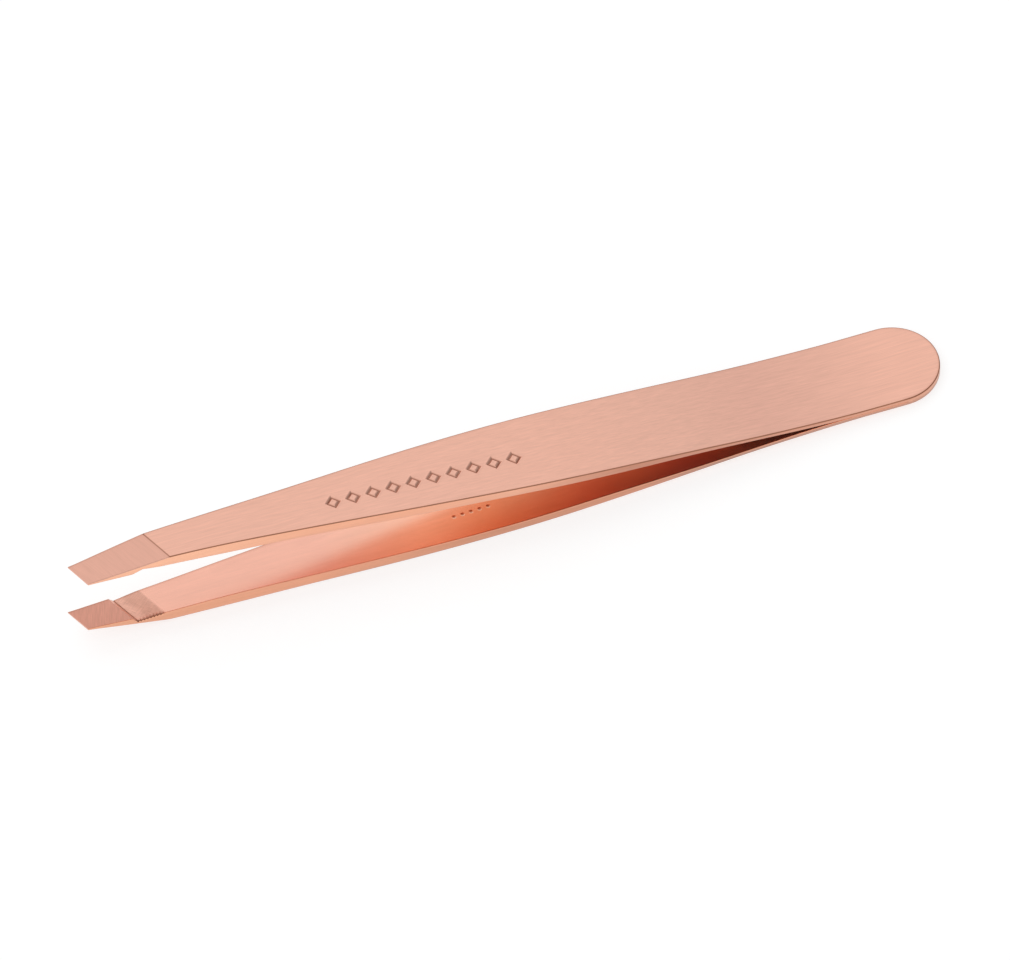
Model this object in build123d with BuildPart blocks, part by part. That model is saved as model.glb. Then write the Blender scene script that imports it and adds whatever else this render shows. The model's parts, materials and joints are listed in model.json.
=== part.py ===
"""Slant tweezers: two sprung steel arms, welded back to back at a round heel.

Each arm is one strip that bends where it is thin. The bending is gathered at a flex line, so
that an arm is a welded heel plate and a blade that turns about that line.

The tweezers lie on a table on the heel and on the belly of the lower arm. So the middle plane
between the arms slopes, and everything is drawn from that plane: local X runs along it from
the tips to the heel, local Y across it and local Z off it.
"""

import os
from math import atan, cos, degrees, radians, sin, sqrt, tan

from build123d import *

os.makedirs("parts", exist_ok=True)

# --- Driving dimensions, mm, in the middle plane's own axes ---------------------------------
HEEL_END = 95.05  # local X of the round heel's end
HEEL_RADIUS = 5.08
TIP_X = -1.02  # local X of the tip edge on the centre line
TIP_HALF_WIDTH = 1.46
SLANT = 22.0  # degrees, between the tip edge and a square cut
TIP_GAP = 7.16  # between the tips, at rest
TIP_THICKNESS = 0.17
SHEET = 0.48  # thickness of each arm at the heel
WELDED_FROM = 84.5  # local X where the arms come together
FLEX_X = 75.0  # local X of the flex line
FLEX_Z = 0.46  # inner face's height off the middle plane at the flex line
TIP_CLEARANCE = 0.02  # each tip edge's height off the middle plane when closed
TIP_GRIND_SLOPE = 0.168  # rise per mm of the outer face, from the tip edge to the crease
JAW_LENGTH = 4.38  # flat jaw face, square to the tip edge
JAW_SLOPE = 0.025  # rise per mm of the jaw's face off the middle plane, from the tip edge back
UPPER_RAMP, LOWER_RAMP = 1.0, 0.55  # length of the step down behind each jaw
RELIEF_DEEP, RELIEF_SLOPE = 4.30, 0.127  # the hollow's floor behind the step, extended to the jaw
RELIEF_LENGTH = 3.27  # from the jaw to where that floor meets the inner face
MARK_DEPTH = 0.15
MARK_COUNT = 10
MARK_FROM, MARK_TO = 27.4, 47.6  # local X of the first and the last mark
MARK_Y = -0.45
MARK_HALF = 0.92  # half of a lozenge's diagonal
MARK_STROKE = 0.36
BEAD_WIDTH, BEAD_HEIGHT = 0.35, 0.20  # weld bead between the heel plates' rims

# Half width of both arms, seen from above.
HALF_WIDTH = [(-3, 1.36), (6, 1.92), (12, 2.22), (26, 3.2), (34, 3.84), (42, 4.38), (50, 4.76),
              (58, 4.9), (70, 4.96), (80, 5.03)]
# The outer face's height off the middle plane, from the crest behind the crease to the heel.
OUTER_FACE = [(-3, 4.98), (14, 5.03), (22.8, 4.66), (33.6, 4.15), (44.5, 3.48), (57.8, 2.45),
              (66.7, 1.66), (73.4, 1.06), (80, 0.66)]
# The inner face's height off the middle plane, from the heel to the back of the relief.
INNER_FACE = [(80, 0.12), (FLEX_X, FLEX_Z), (66.7, 1.08), (57.8, 1.53), (44.5, 2.42), (33.6, 2.9),
              (22.8, 3.33), (14, 3.56), (8, 3.84), (5.6, 3.93)]

# --- Where the tweezers lie -----------------------------------------------------------------
BELLY_X, BELLY_Z = 38.0, 3.90  # the point of the lower arm that rests on the table
HEEL_CENTRE = HEEL_END - HEEL_RADIUS
LIE = atan((BELLY_Z - SHEET) / (HEEL_END - BELLY_X))  # the middle plane's slope
tip_far_x = TIP_X - TIP_HALF_WIDTH * tan(radians(SLANT))
x_low = tip_far_x * cos(LIE) - TIP_GAP / 2 * sin(LIE)
x_high = HEEL_END * cos(LIE) + SHEET * sin(LIE)
lift = BELLY_X * sin(LIE) + BELLY_Z * cos(LIE)

along = Vector(cos(LIE), 0, -sin(LIE))
up = Vector(sin(LIE), 0, cos(LIE))
origin = Vector(-(x_low + x_high) / 2, 0, lift)
middle = Plane(origin=origin, x_dir=along, z_dir=up)
side = Plane(origin=origin, x_dir=along, z_dir=(0, -1, 0))

# The angle that closes each arm, and the tilt along the tip edges that lets them meet evenly.
CLOSE = atan((TIP_GAP / 2 - TIP_CLEARANCE) / (FLEX_X - TIP_X))
TILT = tan(CLOSE) * sin(radians(SLANT))

# Planes across the tip, square to the tip edge: their x is the distance behind that edge.
across = Vector(0, 1, 0)
edge = along * sin(radians(SLANT)) - across * cos(radians(SLANT))
square = along * cos(radians(SLANT)) + across * sin(radians(SLANT))
bevel_plane = Plane(origin=origin + along * TIP_X, x_dir=square, z_dir=edge)
jaw_plane = Plane(origin=bevel_plane.origin, x_dir=square, z_dir=edge - up * TILT)

# --- Plan outline, shared by both arms ------------------------------------------------------
with BuildSketch(middle) as plan:
    with BuildLine():
        near = Spline(*[(x, -w) for x, w in HALF_WIDTH], (HEEL_CENTRE, -HEEL_RADIUS))
        heel = RadiusArc(near @ 1, (HEEL_CENTRE, HEEL_RADIUS), -HEEL_RADIUS)
        far = Spline((HEEL_CENTRE, HEEL_RADIUS), *[(x, w) for x, w in reversed(HALF_WIDTH)])
        Line(far @ 1, near @ 0)
    make_face()

# --- One whole arm: side profile, plan outline, slanted tip ---------------------------------
OUTER_POINTS = [*OUTER_FACE, (WELDED_FROM + 1.5, SHEET)]
OUTER_TANGENTS = [(1, 0.02), (1, 0)]
INNER_TANGENTS = [(-1, 0), (-1, 0.035)]
END = HEEL_END + 1  # profiles run past the heel, and the plan outline trims them
FRONT = HALF_WIDTH[0][0]  # and past the tips, where the grinding trims them
JAW_STOCK = 3.2  # the jaw's face before it is ground
REACH = 8.0  # cutting solids reach this far to each side and past the arm
with BuildPart() as arm:
    with BuildSketch(side):
        with BuildLine():
            crest = Spline(*OUTER_POINTS, tangents=OUTER_TANGENTS)
            Polyline(crest @ 1, (END, SHEET), (END, 0), (WELDED_FROM, 0))
            inner = Spline((WELDED_FROM, 0), *INNER_FACE, tangents=INNER_TANGENTS)
            Polyline(inner @ 1, (INNER_FACE[-1][0], JAW_STOCK), (FRONT, JAW_STOCK), crest @ 0)
        make_face()
    extrude(amount=HEEL_RADIUS + 1, both=True)
    extrude(plan.sketch, amount=REACH, both=True, mode=Mode.INTERSECT)

    # The outer face ground down to the tip edge, and the slanted tip edge itself.
    with BuildSketch(bevel_plane):
        edge_z = TIP_GAP / 2 + TIP_THICKNESS
        run = 14.0
        far_z = edge_z + run * TIP_GRIND_SLOPE
        with BuildLine():
            Polyline((-5, 0), (0, 0), (0, edge_z), (run, far_z), (run, REACH), (-5, REACH), close=True)
        make_face()
    extrude(amount=REACH, both=True, mode=Mode.SUBTRACT)

# --- Stamped row of lozenges on the upper arm's outer face ----------------------------------
with BuildPart() as marks:
    with BuildSketch(side):
        with BuildLine():
            top = Spline(*OUTER_POINTS, tangents=OUTER_TANGENTS)
            Line(top @ 1, top @ 1 - (0, MARK_DEPTH))
            Spline(*[(x, z - MARK_DEPTH) for x, z in OUTER_POINTS], tangents=OUTER_TANGENTS)
            Line(top @ 0 - (0, MARK_DEPTH), top @ 0)
        make_face()
    extrude(amount=HEEL_RADIUS, both=True)
    with BuildSketch(middle) as row:
        pitch = (MARK_TO - MARK_FROM) / (MARK_COUNT - 1)
        mark_side = MARK_HALF * sqrt(2)
        hole_side = mark_side - 2 * MARK_STROKE
        with Locations(((MARK_FROM + MARK_TO) / 2, MARK_Y)):
            with GridLocations(pitch, 0, MARK_COUNT, 1):
                Rectangle(mark_side, mark_side, rotation=45)
                Rectangle(hole_side, hole_side, rotation=45, mode=Mode.SUBTRACT)
    extrude(row.sketch, amount=REACH, mode=Mode.INTERSECT)

# --- Weld bead, run round the heel's rim between the two heel plates -------------------------
with BuildPart() as weld_bead:
    with BuildSketch(middle.offset(-BEAD_HEIGHT / 2)):
        with Locations((HEEL_CENTRE, 0)):
            Circle(HEEL_RADIUS)
            Circle(HEEL_RADIUS - BEAD_WIDTH, mode=Mode.SUBTRACT)
        with Locations((HEEL_CENTRE + HEEL_RADIUS, 0)):
            Rectangle(2 * HEEL_RADIUS, 3 * HEEL_RADIUS, mode=Mode.INTERSECT)
    extrude(amount=BEAD_HEIGHT)
weld_bead.part.label = "weld_bead"

# --- The inner face as ground near the tip: the flat jaw, the step and the hollow behind it ---
grinds = {}
jaw_tip = TIP_GAP / 2
jaw_back = jaw_tip + JAW_SLOPE * JAW_LENGTH
relief_back = RELIEF_DEEP - RELIEF_SLOPE * RELIEF_LENGTH
inside = 2.0  # height of the cutting profile's inner side
for which, ramp in (("upper", UPPER_RAMP), ("lower", LOWER_RAMP)):
    with BuildPart() as grind:
        with BuildSketch(jaw_plane):
            with BuildLine():
                Polyline(
                    (-1, inside), (-1, jaw_tip - JAW_SLOPE), (JAW_LENGTH, jaw_back),
                    (JAW_LENGTH + ramp, RELIEF_DEEP - RELIEF_SLOPE * ramp),
                    (JAW_LENGTH + RELIEF_LENGTH, relief_back),
                    (JAW_LENGTH + RELIEF_LENGTH, inside), close=True,
                )
            make_face()
        extrude(amount=REACH, both=True)
    grinds[which] = grind.part

# --- The arms, cut at their flex lines ------------------------------------------------------
flex_cut = Plane(origin=origin + along * FLEX_X, x_dir=across, z_dir=along)

with BuildPart() as upper_blade:
    add(arm.part)
    add(grinds["upper"], mode=Mode.SUBTRACT)
    add(marks.part, mode=Mode.SUBTRACT)
    split(bisect_by=flex_cut, keep=Keep.BOTTOM)
upper_blade.part.label = "upper_blade"

with BuildPart() as upper_heel_plate:
    add(arm.part)
    split(bisect_by=flex_cut, keep=Keep.TOP)
    add(weld_bead.part, mode=Mode.SUBTRACT)
upper_heel_plate.part.label = "upper_heel_plate"

with BuildPart() as lower_blade:
    mirror(arm.part, about=middle)
    mirror(grinds["lower"], about=middle, mode=Mode.SUBTRACT)
    split(bisect_by=flex_cut, keep=Keep.BOTTOM)
lower_blade.part.label = "lower_blade"

with BuildPart() as lower_heel_plate:
    mirror(arm.part, about=middle)
    split(bisect_by=flex_cut, keep=Keep.TOP)
    add(weld_bead.part, mode=Mode.SUBTRACT)
lower_heel_plate.part.label = "lower_heel_plate"

export_step(upper_blade.part, "parts/upper_blade.step")
export_step(upper_heel_plate.part, "parts/upper_heel_plate.step")
export_step(lower_blade.part, "parts/lower_blade.step")
export_step(lower_heel_plate.part, "parts/lower_heel_plate.step")
export_step(weld_bead.part, "parts/weld_bead.step")

print("closing angle, degrees:", round(degrees(CLOSE), 4), " lie:", round(degrees(LIE), 4))
for name, sign in (("upper", 1), ("lower", -1)):
    flex = origin + along * FLEX_X + up * (sign * FLEX_Z)
    print(name, "flex line, mm:", round(flex.X, 5), 0, round(flex.Z, 5))
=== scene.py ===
import json
import math

import bmesh
import bpy
import numpy as np
from mathutils import Matrix, Vector


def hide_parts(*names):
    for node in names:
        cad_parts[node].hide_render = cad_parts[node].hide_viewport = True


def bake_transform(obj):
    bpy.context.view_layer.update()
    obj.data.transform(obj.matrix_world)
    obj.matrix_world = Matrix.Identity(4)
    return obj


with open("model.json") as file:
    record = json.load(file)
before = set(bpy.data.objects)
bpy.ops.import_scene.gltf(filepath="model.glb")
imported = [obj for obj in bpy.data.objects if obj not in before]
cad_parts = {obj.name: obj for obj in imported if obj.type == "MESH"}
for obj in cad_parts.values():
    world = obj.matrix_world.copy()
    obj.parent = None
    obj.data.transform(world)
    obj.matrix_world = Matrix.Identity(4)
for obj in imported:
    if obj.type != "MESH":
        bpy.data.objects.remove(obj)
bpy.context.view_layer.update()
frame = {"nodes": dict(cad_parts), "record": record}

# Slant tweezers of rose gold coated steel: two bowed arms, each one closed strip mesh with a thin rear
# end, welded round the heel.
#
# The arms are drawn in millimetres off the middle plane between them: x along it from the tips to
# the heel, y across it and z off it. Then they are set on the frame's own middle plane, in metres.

MM = 0.001

# --- Driving dimensions, mm, as in the CAD model --------------------------------------------
HEEL_END = 95.05
HEEL_RADIUS = 5.08
HEEL_CENTRE = HEEL_END - HEEL_RADIUS
HEEL_MOUNT_X = 90.0  # where the heel's flat face mounts stand
TIP_X = -1.02
SLANT = math.radians(22.0)
TIP_GAP = 7.16
TIP_THICKNESS = 0.17
SHEET = 0.48
WELDED_FROM = 84.5
FLEX_X, FLEX_Z = 75.0, 0.46
TIP_CLEARANCE = 0.02
TIP_GRIND_SLOPE = 0.168
JAW_LENGTH = 4.38  # square to the tip edge
JAW_SLOPE = 0.025
RAMP = {"upper": 1.0, "lower": 0.55}  # length of the step down behind each jaw
RELIEF_DEEP, RELIEF_SLOPE = 4.30, 0.127  # the floor of the hollow behind it
RELIEF_LENGTH = 3.27
HALF_WIDTH = [(-3, 1.36), (6, 1.92), (12, 2.22), (26, 3.2), (34, 3.84), (42, 4.38), (50, 4.76),
              (58, 4.9), (70, 4.96), (80, 5.03), (HEEL_CENTRE, HEEL_RADIUS)]
OUTER_FACE = [(-3, 4.98), (14, 5.03), (22.8, 4.66), (33.6, 4.15), (44.5, 3.48), (57.8, 2.45),
              (66.7, 1.66), (73.4, 1.06), (80, 0.66), (WELDED_FROM + 1.5, SHEET)]
INNER_FACE = [(5.6, 3.93), (8, 3.84), (14, 3.56), (22.8, 3.33), (33.6, 2.9), (44.5, 2.42), (57.8, 1.53),
              (66.7, 1.08), (FLEX_X, FLEX_Z), (80, 0.12), (WELDED_FROM, 0)]

# Only in this model: the curves' slopes at their tip ends and the rounded long edges.
OUTER_TIP_SLOPE, INNER_TIP_SLOPE = 0.02, -0.035
OUTER_ROUND, INNER_ROUND = 0.10, 0.07  # radii of the long edges
ROUND_SHARE_OUT, ROUND_SHARE_IN = 0.36, 0.3  # and at most this share of the strip's thickness

# The stamped row on the upper arm's outer face, and the small pips inside the lower arm.
MARK_COUNT, MARK_FROM, MARK_TO, MARK_Y = 10, 27.4, 47.6, -0.45
MARK_HALF, MARK_STROKE, MARK_DEPTH = 0.92, 0.36, 0.15
PIP_COUNT, PIP_FROM, PIP_TO, PIP_Y = 5, 40.6, 44.4, -1.2
PIP_RADIUS, PIP_DEPTH = 0.22, 0.04

# Fine detail: widths and depths in mm, and how dark it is painted there, from 0 to 1. The crease,
# stamps, nicks and foot get painted shade, the far rim a painted dark reflection, and the pips and the
# scratched patch a darker colour of their own.
CREASE_WIDTH, CREASE_DEPTH, CREASE_SHADE = 0.07, 0.02, 0.8
FOOT_WIDTH, FOOT_DEPTH, FOOT_SHADE = 0.07, 0.03, 0.85
FAR_RIM_WIDTH, FAR_RIM_REFLECTION = 0.15, 0.5
BURR_OFF, BURR_WIDTH, BURR_HEIGHT = 0.06, 0.05, 0.02
MARK_SHADE, PIP_DARK, SCRATCH_DARK = 0.75, 0.6, 0.2
TOOTH_PITCH, TOOTH_REACH, TOOTH_DEPTH, TOOTH_SHADE = 0.36, 0.2, 0.15, 0.6
TOOTH_LINE_WIDTH, TOOTH_LINE_SHADE = 0.14, 0.95

JAW_BACK = TIP_X + JAW_LENGTH / math.cos(SLANT)  # on the centre line
CLOSE = math.atan((TIP_GAP / 2 - TIP_CLEARANCE) / (FLEX_X - TIP_X))
TILT = math.tan(CLOSE) * math.sin(SLANT)  # along the tip edges, which meet evenly when closed


# --- The middle plane, from the heel's two flat faces in the record --------------------------
mounts = {m["name"]: m for m in frame["record"]["mounts"]}
up = Vector(mounts["heel_top_face"]["axis"]).normalized()
across = Vector((0, 1, 0))
along = across.cross(up)
heel_middle = (Vector(mounts["heel_top_face"]["pos_m"]) + Vector(mounts["heel_under_face"]["pos_m"])) / 2
origin = heel_middle - along * HEEL_MOUNT_X * MM
to_frame = np.array([along, across, up])


def placed(points):
    """Points of the middle plane's axes, in mm, as points of the frame, in metres."""
    return np.asarray(points, float) * MM @ to_frame + np.array(origin)


# --- Curves ---------------------------------------------------------------------------------
def cubic(points, first=None, last=None):
    """A cubic spline y(x) through points, with end slopes where they are given."""
    x, y = np.array(points, float).T
    n, h = len(x), np.diff(x)
    a, b = np.zeros((n, n)), np.zeros(n)
    for i in range(1, n - 1):
        a[i, i - 1:i + 2] = h[i - 1], 2 * (h[i - 1] + h[i]), h[i]
        b[i] = 6 * ((y[i + 1] - y[i]) / h[i] - (y[i] - y[i - 1]) / h[i - 1])
    a[0, 0] = a[-1, -1] = 1
    if first is not None:
        a[0, :2], b[0] = (2 * h[0], h[0]), 6 * ((y[1] - y[0]) / h[0] - first)
    if last is not None:
        a[-1, -2:], b[-1] = (h[-1], 2 * h[-1]), 6 * (last - (y[-1] - y[-2]) / h[-1])
    m = np.linalg.solve(a, b)

    def at(t):
        t = np.clip(t, x[0], x[-1])
        i = np.clip(np.searchsorted(x, t) - 1, 0, n - 2)
        p, q = x[i + 1] - t, t - x[i]
        return (m[i] * p ** 3 + m[i + 1] * q ** 3) / (6 * h[i]) + \
            (y[i] / h[i] - m[i] * h[i] / 6) * p + (y[i + 1] / h[i] - m[i + 1] * h[i] / 6) * q
    return at


def smoothstep(low, high, t):
    """0 up to low, 1 from high and eased between them."""
    t = np.clip((t - low) / (high - low), 0, 1)
    return t * t * (3 - 2 * t)


def bell(off, width):
    """1 where off is 0, falling away to both sides over about width."""
    return np.exp(-(off / width) ** 2)


half_width = cubic(HALF_WIDTH, last=0)
crest = cubic(OUTER_FACE, first=OUTER_TIP_SLOPE, last=0)
inner_face = cubic(INNER_FACE, first=INNER_TIP_SLOPE, last=0)


def from_tip(x, y):
    """Distance behind the slanted tip edge, square to it."""
    return (x - TIP_X) * math.cos(SLANT) + y * math.sin(SLANT)


def behind_jaw(x, y):
    """Distance behind the jaw's rear edge, square to it."""
    return from_tip(x, y) - JAW_LENGTH


def tilt(x, y):
    """How much lower the ground inner faces are towards the near end of the tip edge."""
    return TILT * ((x - TIP_X) * math.sin(SLANT) - y * math.cos(SLANT))


def ground_z(x, y):
    """Height of the plane that the outer face is ground to at the tip."""
    return TIP_GAP / 2 + TIP_THICKNESS + TIP_GRIND_SLOPE * from_tip(x, y)


def outer_z(x, y):
    """Height of the outer face off the middle plane."""
    return np.minimum(crest(x), ground_z(x, y))


def inner_z(x, y, jaw, ramp):
    """Height of the inner face: the flat jaw, the step and hollow behind it, then the plain strip."""
    behind = behind_jaw(x, y)
    flat = TIP_GAP / 2 + JAW_SLOPE * from_tip(x, y) - tilt(x, y)
    strip = inner_face(x) - INNER_TIP_SLOPE * np.maximum(INNER_FACE[0][0] - x, 0)
    hollow = np.maximum(RELIEF_DEEP - RELIEF_SLOPE * behind - tilt(x, y), strip)
    top = TIP_GAP / 2 + JAW_SLOPE * JAW_LENGTH
    fall = (RELIEF_DEEP - RELIEF_SLOPE * ramp - top) / ramp
    return np.where(jaw, flat, np.minimum(hollow, top + fall * behind - tilt(x, y)))


# --- Fine detail: how deep it goes below a face, and how dark it is painted there, mostly painted shade ---
def crease_line(x, y):
    """The fine line where the ground tip meets the brushed face: a shallow groove with painted shade
    along it.
    """
    off = (ground_z(x, y) - crest(x)) / TIP_GRIND_SLOPE
    line = bell(off, CREASE_WIDTH)
    return CREASE_DEPTH * line, CREASE_SHADE * line


def stamped_row(x, y):
    """A chain of open lozenges, with a slight burr round each stroke and painted shade in the grooves.
    """
    pitch = (MARK_TO - MARK_FROM) / (MARK_COUNT - 1)
    k = np.clip(np.round((x - MARK_FROM) / pitch), 0, MARK_COUNT - 1)
    r = (np.abs(x - MARK_FROM - k * pitch) + np.abs(y - MARK_Y)) / math.sqrt(2)
    line = np.abs(r - (MARK_HALF / math.sqrt(2) - MARK_STROKE / 2)) - MARK_STROKE / 2
    burr = BURR_HEIGHT * bell(line - BURR_OFF, BURR_WIDTH)
    depth = MARK_DEPTH * (1 - smoothstep(-0.16, 0.01, line)) - burr
    return depth, MARK_SHADE * (1 - smoothstep(-0.17, -0.02, line))


def far_rim_reflection(x, y):
    """A painted dark reflection along the far edge and round the heel."""
    edge = np.where(x < HEEL_CENTRE, half_width(x) - y, HEEL_RADIUS - np.hypot(x - HEEL_CENTRE, y))
    return 0 * x, FAR_RIM_REFLECTION * bell(edge, FAR_RIM_WIDTH)


def pips(x, y):
    """A short row of round dimples."""
    pitch = (PIP_TO - PIP_FROM) / (PIP_COUNT - 1)
    k = np.clip(np.round((x - PIP_FROM) / pitch), 0, PIP_COUNT - 1)
    r = np.hypot(x - PIP_FROM - k * pitch, y - PIP_Y) - PIP_RADIUS
    hole = 1 - smoothstep(-0.12, 0.02, r)
    return PIP_DEPTH * hole, PIP_DARK * hole


def teeth(x, y):
    """Nicks that the grinding left along the near edge, beside the hollow, with painted shade in them
    and a painted shade line along the edge.
    """
    behind = behind_jaw(x, y)
    edge = y + half_width(x)
    fade = smoothstep(RELIEF_LENGTH - 0.5, RELIEF_LENGTH + 0.2, behind)
    patch = smoothstep(0.1, 0.4, behind) * (1 - fade)
    wave = np.maximum(np.cos(2 * math.pi * x / TOOTH_PITCH), 0)
    notch = wave * bell(edge, TOOTH_REACH) * patch
    line = bell(edge, TOOTH_LINE_WIDTH) * patch
    return TOOTH_DEPTH * notch, np.maximum(TOOTH_LINE_SHADE * line, TOOTH_SHADE * notch)


def foot_line(x, y):
    """Painted shade in the corner at the foot of the lower arm's step."""
    line = bell(behind_jaw(x, y) - RAMP["lower"], FOOT_WIDTH)
    return FOOT_DEPTH * line, FOOT_SHADE * line


def scratched_patch(x, y):
    """The darker, cross-scratched part of the hollow."""
    behind = behind_jaw(x, y)
    return 0 * x, SCRATCH_DARK * smoothstep(1.0, 1.9, behind) * (1 - smoothstep(3.0, 3.4, behind))


def together(*details):
    """One look that adds up the depths and the darks of several."""
    def look(x, y):
        return [sum(parts) for parts in zip(*[detail(x, y) for detail in details])]
    return look


upper_outer_look = together(crease_line, stamped_row, far_rim_reflection)
lower_inner_look = together(pips, teeth, foot_line, scratched_patch, far_rim_reflection)


# --- The grid that both arms share ------------------------------------------------------------
SLANTED_TO, SQUARE_FROM = 10, 25  # the rows are slanted like the tip, then turn square
SIDE_COLUMNS = 8  # on each side of the fine band
CROWDING = 1.7  # how much those columns crowd towards the edges
BAND_ROOM = 3.0  # half width of the strip from which a band has its full width
NEARLY_SQUARE = 0.85  # cosine between a row and the outline's normal that counts as square
HEEL_TURN = np.radians(np.r_[0:84:4, 84, 86.5, 88.3, 89.3])  # rows round the heel's arc
OUTER_ARC, INNER_ARC = np.radians([0, 30, 60, 90]), np.radians([0, 45, 90])  # round the long edges


def spread(start, stop, pitch):
    """Evenly spaced values from start, about pitch apart, without stop."""
    return list(np.linspace(start, stop, max(2, round(abs(stop - start) / pitch) + 1))[:-1])


def station_centres(fine_from, fine_to):
    """Where each row of the grid crosses the centre line, from the tip edge to the heel's arc."""
    step = 0.012  # half the width of the jaw's sharp rear edge
    crease = TIP_X + (crest(8) - TIP_GAP / 2 - TIP_THICKNESS) / TIP_GRIND_SLOPE / math.cos(SLANT)
    rows = spread(TIP_X, JAW_BACK - step, 0.16) + [JAW_BACK - step, JAW_BACK + step]
    stretches = [  # from, to and pitch
        (JAW_BACK + 0.03, JAW_BACK + 1.2, 0.03), (JAW_BACK + 1.2, crease - 0.3, 0.05),
        (crease - 0.3, crease + 0.3, 0.03), (crease + 0.3, 11, 0.12), (11, fine_from, 0.4),
        (fine_from, fine_to, 0.07), (fine_to, HEEL_CENTRE, 0.7),
    ]
    for stretch in stretches:
        rows += spread(*stretch)
    return np.array(rows)


def rims(centres):
    """Both ends of each row, on the plan outline, near one first."""
    slant = math.tan(SLANT) * (1 - smoothstep(SLANTED_TO, SQUARE_FROM, centres))
    xn, xf = centres.copy(), centres.copy()
    for _ in range(12):
        xn = centres + slant * half_width(xn)
        xf = centres - slant * half_width(xf)
    near = np.stack([xn, -half_width(xn)], 1)
    far = np.stack([xf, half_width(xf)], 1)
    ahead = HEEL_CENTRE + HEEL_RADIUS * np.sin(HEEL_TURN)
    side = HEEL_RADIUS * np.cos(HEEL_TURN)
    return (np.r_[near, np.stack([ahead, -side], 1)], np.r_[far, np.stack([ahead, side], 1)])


def inset(near, far, distance):
    """The rims moved inwards by distance, square to the outline.

    Where a row meets the outline nearly square, its ends slide along it and the row stays straight.
    """
    out = []
    for rim, sign in ((near, 1), (far, -1)):
        run = np.gradient(rim, axis=0)
        run /= np.linalg.norm(run, axis=1)[:, None]
        inward = sign * np.stack([-run[:, 1], run[:, 0]], 1)
        row = sign * (far - near)
        row /= np.linalg.norm(row, axis=1)[:, None]
        square = (row * inward).sum(1)
        by_row = (square > NEARLY_SQUARE)[:, None]
        step = np.where(by_row, row / np.maximum(square, NEARLY_SQUARE)[:, None], inward)
        out.append(rim + step * np.asarray(distance)[:, None])
    return out


def columns(near, far, band):
    """Points across each row between its ends. A band of y, where it fits, has the fine columns."""
    low, high, fine = band
    width = far[:, 1] - near[:, 1]
    room = np.minimum(1, width / 2 / BAND_ROOM)
    t_low = (low * room - near[:, 1]) / width
    t_high = (high * room - near[:, 1]) / width
    ends = np.linspace(0, 1, SIDE_COLUMNS + 1)[1:, None] ** CROWDING
    t = np.concatenate([ends * t_low, np.linspace(t_low, t_high, fine + 1)[1:],
                        1 - (ends * (1 - t_high))[-2::-1]]).T
    return near[:, None] + (far - near)[:, None] * t[:, :, None]


# --- One arm ------------------------------------------------------------------------------------
def section_runs(near, far, jaw, ramp, outer_band, inner_band, outer_look, inner_look):
    """The arm's long rows of points in the order that they go round its section.

    Each run of rows comes with its zone and with the zone of the gap to the next run. A point is x, y, z
    and how dark it is painted, with tarnish on the pips and the scratched patch and painted shade and
    dark reflection elsewhere.
    """
    thick = np.minimum(*[outer_z(*rim.T) - inner_z(*rim.T, jaw, ramp) for rim in (near, far)])
    outer_round = np.minimum(OUTER_ROUND, ROUND_SHARE_OUT * thick)
    inner_round = np.minimum(INNER_ROUND, ROUND_SHARE_IN * thick)

    def point(x, y, drop, outer):
        """Points of one face, drop below it."""
        row = jaw if x.ndim == 1 else jaw[:, None]
        depth, dark = (outer_look if outer else inner_look)(x, y)
        z = outer_z(x, y) - drop - depth if outer else inner_z(x, y, row, ramp) + drop + depth
        return np.stack([x, y, z, dark], -1)

    def edge(side, outer):
        """Rounded edge of one side, from the wall to the face."""
        radius, arc = (outer_round, OUTER_ARC) if outer else (inner_round, INNER_ARC)
        rows = []
        for a in arc:
            xy = inset(near, far, radius * (1 - math.cos(a)))[side]
            row = point(*xy.T, radius * (1 - math.sin(a)), outer)
            row[:, 3] *= min(1, 1.5 * math.sin(a))  # no tarnish or painted shade on the wall
            rows.append(row)
        return rows

    def face(outer):
        """Rows of one face, between its rounded edges."""
        radius, band = (outer_round, outer_band) if outer else (inner_round, inner_band)
        xy = columns(*inset(near, far, radius), band)
        return list(point(xy[..., 0], xy[..., 1], 0, outer).transpose(1, 0, 2))

    return [("edge", "outer", edge(0, True)), ("outer", "outer", face(True)),
            ("edge", "wall", edge(1, True)[::-1]), ("rim", "inner", edge(1, False)),
            ("inner", "inner", face(False)[::-1]), ("rim", "wall", edge(0, False)[::-1])]


def tube_faces(count, size):
    """The sides of a tube of count rings with size points each, then its two ends."""
    faces = []
    for i in range(count - 1):
        for k in range(size):
            j = (k + 1) % size
            faces.append((i * size + k, i * size + j, (i + 1) * size + j, (i + 1) * size + k))
    faces.append(tuple(range(size))[::-1])
    faces.append(tuple((count - 1) * size + k for k in range(size)))
    return faces


def strip_object(name, strip, dark, faces):
    """The mesh, which keeps the strip's own coordinates and its tarnish and painted shade for the
    materials.
    """
    mesh = bpy.data.meshes.new(name)
    mesh.from_pydata(placed(strip).tolist(), [], faces)
    mesh.update()
    place = mesh.attributes.new("strip", "FLOAT_VECTOR", "POINT")
    place.data.foreach_set("vector", strip.ravel())
    stain_and_shade = mesh.attributes.new("dark", "FLOAT", "POINT")
    stain_and_shade.data.foreach_set("value", np.clip(dark, 0, 1).ravel())
    obj = bpy.data.objects.new(name, mesh)
    bpy.context.scene.collection.objects.link(obj)
    return obj


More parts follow.
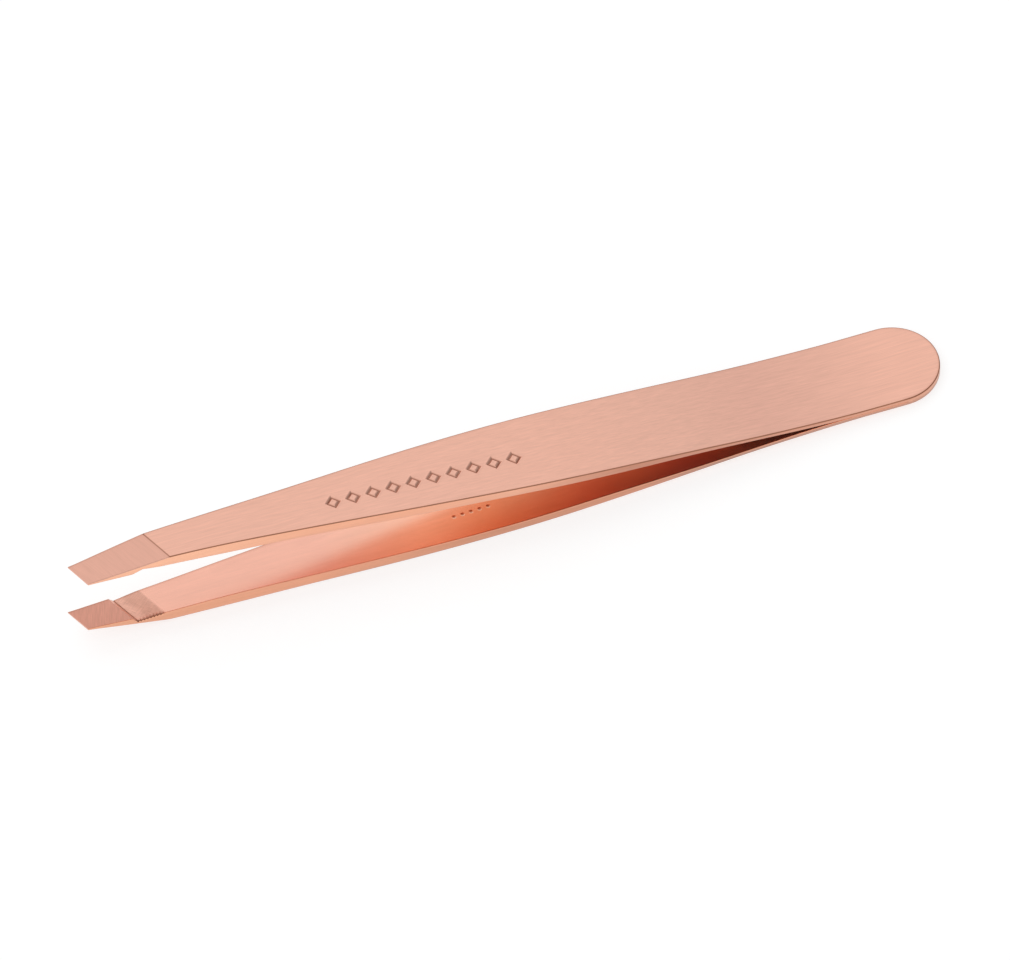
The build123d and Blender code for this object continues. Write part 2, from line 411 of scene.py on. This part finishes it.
def arm_mesh(name, hand, ramp, fine_x, **section):
    """One arm as a closed strip. hand is 1 for the upper arm and -1 for its mirror image."""
    centres = station_centres(*fine_x)
    near, far = rims(centres)
    count = len(near)
    jaw = np.arange(count) < np.searchsorted(centres, JAW_BACK)
    runs = section_runs(near, far, jaw, ramp, **section)
    ring = np.stack([row for _, _, rows in runs for row in rows], 1)
    strip, dark = np.split(ring.reshape(-1, 4), [3], 1)
    strip = strip * (1, 1, hand)

    round_section = []
    for zone, gap, rows in runs:
        round_section += [zone] * (len(rows) - 1) + [gap]
    zones = round_section * (count - 1) + ["tip", "wall"]
    faces = tube_faces(count, len(round_section))
    if hand > 0:
        faces = [f[::-1] for f in faces]
    return strip_object(name, strip, dark, faces), zones, strip


def zone_slot(zone, strip, face):
    """The material slot of one face, by its zone and by where its middle is."""
    x, y, _ = strip[list(face)].mean(0)
    behind = behind_jaw(x, y)
    if zone == "inner" and behind < RELIEF_LENGTH:
        return "jaw" if behind < 0 else "relief"
    if zone in ("outer", "edge") and ground_z(x, y) < crest(x):
        return "ground"
    return "ground" if zone == "tip" else zone


# --- Materials --------------------------------------------------------------------------------
NOISE_RANGE = (0.32, 0.68)  # where the noise gets its darkest and its lightest colour
NOISE_DETAIL = 3.0
LAYER_SHIFT = (3.1, 1.7, 0.6)  # mm from one layer of noise to the next
BUMP_HEIGHT = 0.02 * MM


def mixed(nodes, links, blend, first, second, factor=None):
    """The colour first with second laid over it. second is an output or a plain colour."""
    mix = nodes.new("ShaderNodeMix")
    mix.data_type = "RGBA"
    mix.blend_type = blend
    mix.inputs["Factor"].default_value = 1.0
    links.new(first, mix.inputs["A"])
    if isinstance(second, tuple):
        mix.inputs["B"].default_value = (*second, 1)
    else:
        links.new(second, mix.inputs["B"])
    if factor:
        links.new(factor, mix.inputs["Factor"])
    return mix.outputs["Result"]


def grain(nodes, links, place, unit, layers):
    """The layers of noise added up. unit is how long a millimetre is in place."""
    total = None
    for index, (size, turned, share) in enumerate(layers):
        stretch = nodes.new("ShaderNodeMapping")
        stretch.vector_type = "TEXTURE"
        stretch.inputs["Scale"].default_value = [length * unit for length in size]
        stretch.inputs["Rotation"].default_value = (0, 0, math.radians(turned))
        stretch.inputs["Location"].default_value = [shift * index * unit for shift in LAYER_SHIFT]
        links.new(place, stretch.inputs["Vector"])
        cloud = nodes.new("ShaderNodeTexNoise")
        cloud.inputs["Scale"].default_value = 1.0
        cloud.inputs["Detail"].default_value = NOISE_DETAIL
        links.new(stretch.outputs["Vector"], cloud.inputs["Vector"])
        part = nodes.new("ShaderNodeMath")
        part.operation = "MULTIPLY_ADD"
        part.inputs[1].default_value = share
        part.inputs[2].default_value = 0
        links.new(cloud.outputs["Fac"], part.inputs[0])
        if total:
            links.new(total, part.inputs[2])
        total = part.outputs[0]
    return total


def with_painted_light(nodes, links, place, paint, painted_light):
    """The colour paint multiplied by painted reflection and shade, which change along the strip."""
    split = nodes.new("ShaderNodeSeparateXYZ")
    along_arm = nodes.new("ShaderNodeMath")
    along_arm.operation = "DIVIDE"
    along_arm.inputs[1].default_value = HEEL_END
    tone = nodes.new("ShaderNodeValToRGB")
    while len(tone.color_ramp.elements) < len(painted_light):
        tone.color_ramp.elements.new(0.5)
    for stop, (x, shade) in zip(tone.color_ramp.elements, painted_light):
        stop.position = x / HEEL_END
        stop.color = (*shade, 1)
    links.new(place, split.inputs["Vector"])
    links.new(split.outputs["X"], along_arm.inputs[0])
    links.new(along_arm.outputs[0], tone.inputs["Fac"])
    return mixed(nodes, links, "MULTIPLY", paint, tone.outputs["Color"])


def metal(name, colour, rough, layers, contrast=0.07, bump=0.1, rough_swing=0.08, painted_light=None,
          on_strip=True):
    """Coated steel with a grain and, where they are given, painted reflection and shade along the strip.

    A piece without the strip's own coordinates takes the frame's.
    """
    mat = bpy.data.materials.new(name)
    mat.use_nodes = True
    nodes, links = mat.node_tree.nodes, mat.node_tree.links
    shader = nodes["Principled BSDF"]
    shader.inputs["Metallic"].default_value = 1.0
    if on_strip:
        attribute = nodes.new("ShaderNodeAttribute")
        attribute.attribute_name = "strip"
        place, unit = attribute.outputs["Vector"], 1
    else:
        place, unit = nodes.new("ShaderNodeTexCoord").outputs["Object"], MM
    noise = grain(nodes, links, place, unit, layers)

    ramp = nodes.new("ShaderNodeValToRGB")
    for stop, at, shade in zip(ramp.color_ramp.elements, NOISE_RANGE, (1 - contrast, 1 + contrast)):
        stop.position = at
        stop.color = (*[min(1, c * shade) for c in colour], 1)
    links.new(noise, ramp.inputs["Fac"])
    paint = ramp.outputs["Color"]
    if painted_light:
        paint = with_painted_light(nodes, links, place, paint, painted_light)
    # The dark attribute mixes in tarnish on the pips and the scratched patch, and painted shade and dark
    # reflection elsewhere.
    stain_and_shade = nodes.new("ShaderNodeAttribute")
    stain_and_shade.attribute_name = "dark"
    paint = mixed(nodes, links, "MIX", paint, TARNISH_AND_SHADE, stain_and_shade.outputs["Fac"])
    links.new(paint, shader.inputs["Base Color"])

    swing = nodes.new("ShaderNodeMapRange")
    swing.inputs["To Min"].default_value = rough - rough_swing
    swing.inputs["To Max"].default_value = rough + rough_swing
    links.new(noise, swing.inputs["Value"])
    links.new(swing.outputs["Result"], shader.inputs["Roughness"])
    lift = nodes.new("ShaderNodeBump")
    lift.inputs["Strength"].default_value = bump
    lift.inputs["Distance"].default_value = BUMP_HEIGHT
    links.new(noise, lift.inputs["Height"])
    links.new(lift.outputs["Normal"], shader.inputs["Normal"])
    return mat


# The colour of the dark attribute: tarnish, and painted shade and dark reflection.
TARNISH_AND_SHADE = (0.26, 0.09, 0.05)
OUTER = (0.845, 0.474, 0.365)
PEACH = (0.93, 0.50, 0.33)

# Each layer of a grain: the size of its streaks in mm, degrees turned in the strip's plane, share.
BRUSHED = [((3.0, 0.10, 0.10), 0, 0.6), ((6.0, 0.3, 0.3), 0, 0.4)]
DRAWN = [((5.0, 0.5, 0.09), 0, 0.65), ((12.0, 2.0, 0.3), 0, 0.35)]
POLISHED = [((9.0, 0.3, 0.3), 0, 0.5), ((3.0, 1.5, 1.5), 0, 0.5)]
FILED = [((1.6, 0.09, 1), 70, 0.7), ((3.0, 0.5, 1), 70, 0.3)]
SCRATCHED = [((1.3, 0.1, 1), 35, 0.4), ((1.3, 0.1, 1), -50, 0.4), ((0.6, 0.6, 1), 0, 0.2)]
GROUND = [((2.5, 0.12, 1), -68, 0.5), ((3.0, 0.5, 1), -68, 0.5)]
CAST = [((0.7, 0.7, 0.5), 0, 1.0)]

# The painted reflection and shade along the strip, tuned to the photo: x in mm, factors of red, green
# and blue.
OUTER_PAINTED_LIGHT = [
    (0, (1, 1, 1)), (52, (1, 1, 1)), (66, (0.94, 0.955, 0.965)), (74.5, (0.89, 0.89, 0.91)),
    (83, (0.935, 0.94, 0.95)), (90, (1, 1, 1)),
]
WALL_PAINTED_SHADE = [
    (0, (1, 1, 1)), (12.5, (1, 1, 1)), (24, (0.94, 0.88, 0.87)), (35, (0.94, 0.86, 0.85)),
    (46, (0.9, 0.87, 0.9)), (59, (0.62, 0.54, 0.56)), (68, (0.66, 0.6, 0.65)), (90, (0.8, 0.76, 0.8)),
]
UNDER_WALL_PAINTED_SHADE = [
    (0, (0.85, 0.8, 0.78)), (24, (0.87, 0.78, 0.76)), (45, (0.68, 0.62, 0.62)),
    (60, (0.7, 0.62, 0.62)), (69, (0.53, 0.57, 0.67)), (90, (0.62, 0.62, 0.7)),
]
INNER_PAINTED_LIGHT = [
    (0, (0.91, 0.87, 0.94)), (26, (0.91, 0.87, 0.94)), (38, (1, 1, 1)), (44.5, (0.95, 0.9, 0.84)),
    (50, (0.9, 0.88, 0.86)), (55.5, (0.88, 0.84, 0.84)), (61, (0.87, 0.89, 0.92)),
    (66, (0.88, 0.87, 0.96)), (71, (1, 1.04, 1.1)), (76, (1.02, 1.08, 1.2)), (90, (0.96, 0.96, 1)),
]
SLOTS = {
    "outer": metal("brushed_outer", OUTER, 0.34, BRUSHED, 0.08, painted_light=OUTER_PAINTED_LIGHT),
    # The rounded outer edges: a dark colour painted as a dark reflection.
    "edge": metal("edge_painted_dark_reflection", (0.45, 0.20, 0.125), 0.45, BRUSHED, 0.12),
    "wall": metal("milled_wall", PEACH, 0.32, DRAWN, 0.06, painted_light=WALL_PAINTED_SHADE),
    # A copy of the wall with darker painted shade, for the lower arm's walls.
    "shaded_under_wall": metal("milled_under_wall", PEACH, 0.32, DRAWN, 0.06, painted_light=UNDER_WALL_PAINTED_SHADE),
    "rim": metal("inner_edge", (0.86, 0.42, 0.27), 0.35, BRUSHED, 0.08),
    "inner": metal("polished_inner", (0.94, 0.53, 0.38), 0.24, POLISHED, 0.04, 0.03, 0.04, INNER_PAINTED_LIGHT),
    "jaw": metal("filed_jaw", (0.67, 0.325, 0.245), 0.38, FILED, 0.13, 0.25),
    "relief": metal("ground_relief", (0.83, 0.46, 0.355), 0.40, SCRATCHED, 0.24, 0.4),
    "ground": metal("ground_tip", (0.765, 0.42, 0.325), 0.36, GROUND, 0.06),
}
SHARP_ANGLE = math.radians(38)  # edges that turn more than this stay sharp


def dress(obj, wall, zones, strip):
    """Gives each face its slot and marks the sharp edges."""
    order = [key for key in SLOTS if "wall" not in key] + ["wall"]
    for key in order:
        obj.data.materials.append(SLOTS[wall if key == "wall" else key])
    for face, zone in zip(obj.data.polygons, zones):
        face.material_index = order.index(zone_slot(zone, strip, face.vertices))
        face.use_smooth = True
    work = bmesh.new()
    work.from_mesh(obj.data)
    for line in work.edges:
        if len(line.link_faces) == 2 and line.calc_face_angle(0) > SHARP_ANGLE:
            line.smooth = False
    work.to_mesh(obj.data)
    work.free()


# --- The pieces ---------------------------------------------------------------------------------
# The bands of the grid with fine columns: y from, y to and how many.
ARMS = {
    "upper": dict(hand=1, fine_x=(26.2, 48.8), outer_band=(-1.55, 0.65, 32), inner_band=(-1, 1, 6),
                  outer_look=upper_outer_look, inner_look=scratched_patch),
    "lower": dict(hand=-1, fine_x=(40.2, 44.8), outer_band=(-1, 1, 6), inner_band=(-1.6, -0.8, 20),
                  outer_look=crease_line, inner_look=lower_inner_look),
}
for which, shape in ARMS.items():
    arm, *layout = arm_mesh(f"{which}_arm", ramp=RAMP[which], **shape)
    # The lower arm's walls take the copy of the wall with darker painted shade.
    dress(arm, "wall" if which == "upper" else "shaded_under_wall", *layout)
    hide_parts(f"{which}_blade", f"{which}_heel_plate")
    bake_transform(arm)
bead = frame["nodes"]["weld_bead"].data
bead.materials.clear()
bead.materials.append(metal("weld_bead", (0.74, 0.40, 0.28), 0.42, CAST, 0.18, 0.4, on_strip=False))


# --- Camera -----------------------------------------------------------------------------------
AZIMUTH, ELEVATION, ROLL = math.radians(20.16), math.radians(50.0), math.radians(0.16)
VIEW_WIDTH = 105.91  # mm across the picture
AIM_X = 47.5  # mm along the middle plane's x
AIM_RIGHT, AIM_ABOVE = -0.71, -0.52  # mm from there, as seen in the picture
DISTANCE = 400  # mm
CLIP = (0.01, 5)  # m


def add_camera():
    """A parallel view, turned from the middle plane's own axes."""
    right = np.array((math.cos(AZIMUTH), -math.sin(AZIMUTH), 0))
    top = np.array((math.sin(AZIMUTH) * math.sin(ELEVATION), math.cos(AZIMUTH) * math.sin(ELEVATION),
                    math.cos(ELEVATION)))
    right, top = (math.cos(ROLL) * right - math.sin(ROLL) * top,
                  math.sin(ROLL) * right + math.cos(ROLL) * top)
    back = np.cross(right, top)
    aim = np.array((AIM_X, 0, 0)) + AIM_RIGHT * right + AIM_ABOVE * top
    eye = placed([aim + back * DISTANCE])[0]
    turn = Matrix([Vector(v @ to_frame) for v in (right, top, back)]).transposed()
    camera = bpy.data.objects.new("camera", bpy.data.cameras.new("camera"))
    camera.data.type = "ORTHO"
    camera.data.ortho_scale = VIEW_WIDTH * MM
    camera.data.clip_start, camera.data.clip_end = CLIP
    camera.matrix_world = Matrix.Translation(Vector(eye)) @ turn.to_4x4()
    bpy.context.scene.collection.objects.link(camera)
    bpy.context.scene.camera = camera


# --- Floor and light --------------------------------------------------------------------------
FLOOR_REACH = 3  # m each way
PAPER_GREY, PAPER_GLOW = 0.35, 0.72  # the paper is lit through from below
TENT_OPEN = (0.87, -0.45, 0.2)  # towards the tent's open, darker front
TENT_DARK = 0.5  # brightness there
OPENING_EDGE = (0.05, 0.85)  # cosine of the angle off it: all bright, all dark
HORIZON = (-0.02, 0.12)  # height of the direction: all bright, as dark as the opening says
SOFTBOX_PLACE = (0.28, 0.63, 0.79)  # m
SOFTBOX_POWER, SOFTBOX_SIZE = 0.03, 0.35  # W, m


def add_floor():
    """The paper that the tweezers lie on."""
    r = FLOOR_REACH
    mesh = bpy.data.meshes.new("floor")
    mesh.from_pydata([(-r, -r, 0), (r, -r, 0), (r, r, 0), (-r, r, 0)], [], [(0, 1, 2, 3)])
    floor = bpy.data.objects.new("floor", mesh)
    bpy.context.scene.collection.objects.link(floor)
    paper = bpy.data.materials.new("paper")
    paper.use_nodes = True
    sheet = paper.node_tree.nodes["Principled BSDF"]
    sheet.inputs["Base Color"].default_value = (PAPER_GREY, PAPER_GREY, PAPER_GREY, 1)
    sheet.inputs["Roughness"].default_value = 0.9
    sheet.inputs["Emission Color"].default_value = (1, 1, 1, 1)
    sheet.inputs["Emission Strength"].default_value = PAPER_GLOW
    mesh.materials.append(paper)


def eased(nodes, links, source, low, high):
    """source, eased from 0 at low to 1 at high."""
    ease = nodes.new("ShaderNodeMapRange")
    ease.interpolation_type = "SMOOTHSTEP"
    ease.inputs["From Min"].default_value = low
    ease.inputs["From Max"].default_value = high
    links.new(source, ease.inputs["Value"])
    return ease.outputs["Result"]


def add_tent():
    """A white tent, darker above the floor on its open side."""
    world = bpy.data.worlds.new("tent")
    world.use_nodes = True
    nodes, links = world.node_tree.nodes, world.node_tree.links
    way = nodes.new("ShaderNodeTexCoord")
    opening = nodes.new("ShaderNodeVectorMath")
    opening.operation = "DOT_PRODUCT"
    opening.inputs[1].default_value = Vector(TENT_OPEN).normalized()
    height = nodes.new("ShaderNodeSeparateXYZ")
    links.new(way.outputs["Generated"], opening.inputs[0])
    links.new(way.outputs["Generated"], height.inputs["Vector"])
    shade = nodes.new("ShaderNodeMath")
    shade.operation = "MULTIPLY"
    links.new(eased(nodes, links, opening.outputs["Value"], *OPENING_EDGE), shade.inputs[0])
    links.new(eased(nodes, links, height.outputs["Z"], *HORIZON), shade.inputs[1])
    strength = nodes.new("ShaderNodeMath")
    strength.operation = "MULTIPLY_ADD"
    strength.inputs[1].default_value = TENT_DARK - 1
    strength.inputs[2].default_value = 1
    links.new(shade.outputs[0], strength.inputs[0])
    links.new(strength.outputs[0], nodes["Background"].inputs["Strength"])
    nodes["Background"].inputs["Color"].default_value = (1, 1, 1, 1)
    bpy.context.scene.world = world


def add_softbox():
    """A soft area light that faces the frame's origin."""
    lamp = bpy.data.lights.new("softbox", "AREA")
    lamp.energy, lamp.size = SOFTBOX_POWER, SOFTBOX_SIZE
    softbox = bpy.data.objects.new("softbox", lamp)
    softbox.location = SOFTBOX_PLACE
    softbox.rotation_euler = (-Vector(SOFTBOX_PLACE)).to_track_quat("-Z", "Y").to_euler()
    bpy.context.scene.collection.objects.link(softbox)


add_camera()
add_floor()
add_tent()
add_softbox()
bpy.context.scene.view_settings.view_transform = "Standard"
